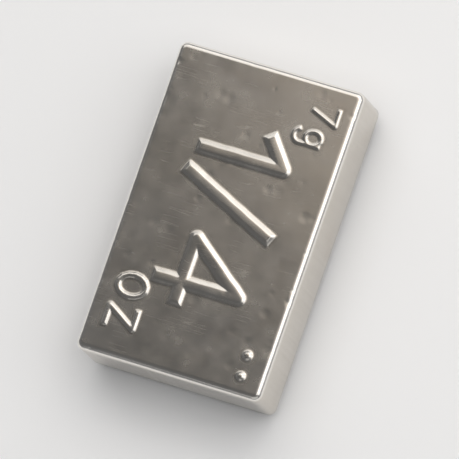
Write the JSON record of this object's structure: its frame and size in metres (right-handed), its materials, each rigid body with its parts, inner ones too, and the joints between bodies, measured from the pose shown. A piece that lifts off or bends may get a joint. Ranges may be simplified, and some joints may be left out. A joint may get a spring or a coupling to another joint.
{
  "type": "wheel balance weight",
  "caption": "Stick-on wheel balance weight: a rounded rectangular steel block, nickel plated, on a pad of double-sided foam tape that holds it on a wheel rim.",
  "frame": {"origin": "centre of the adhesive face, the underside of the tape", "axes": "+X across the weight, +Y along its long side, +Z out of the marked face, away from the rim"},
  "size_m": [0.0116, 0.019, 0.0049],
  "materials": {
    "nickel_plate": "satin",
    "foam_tape": "matte"
  },
  "bodies": {
    "root": {"weight_body": "nickel_plate", "adhesive_tape": "foam_tape"}
  },
  "joints": []
}
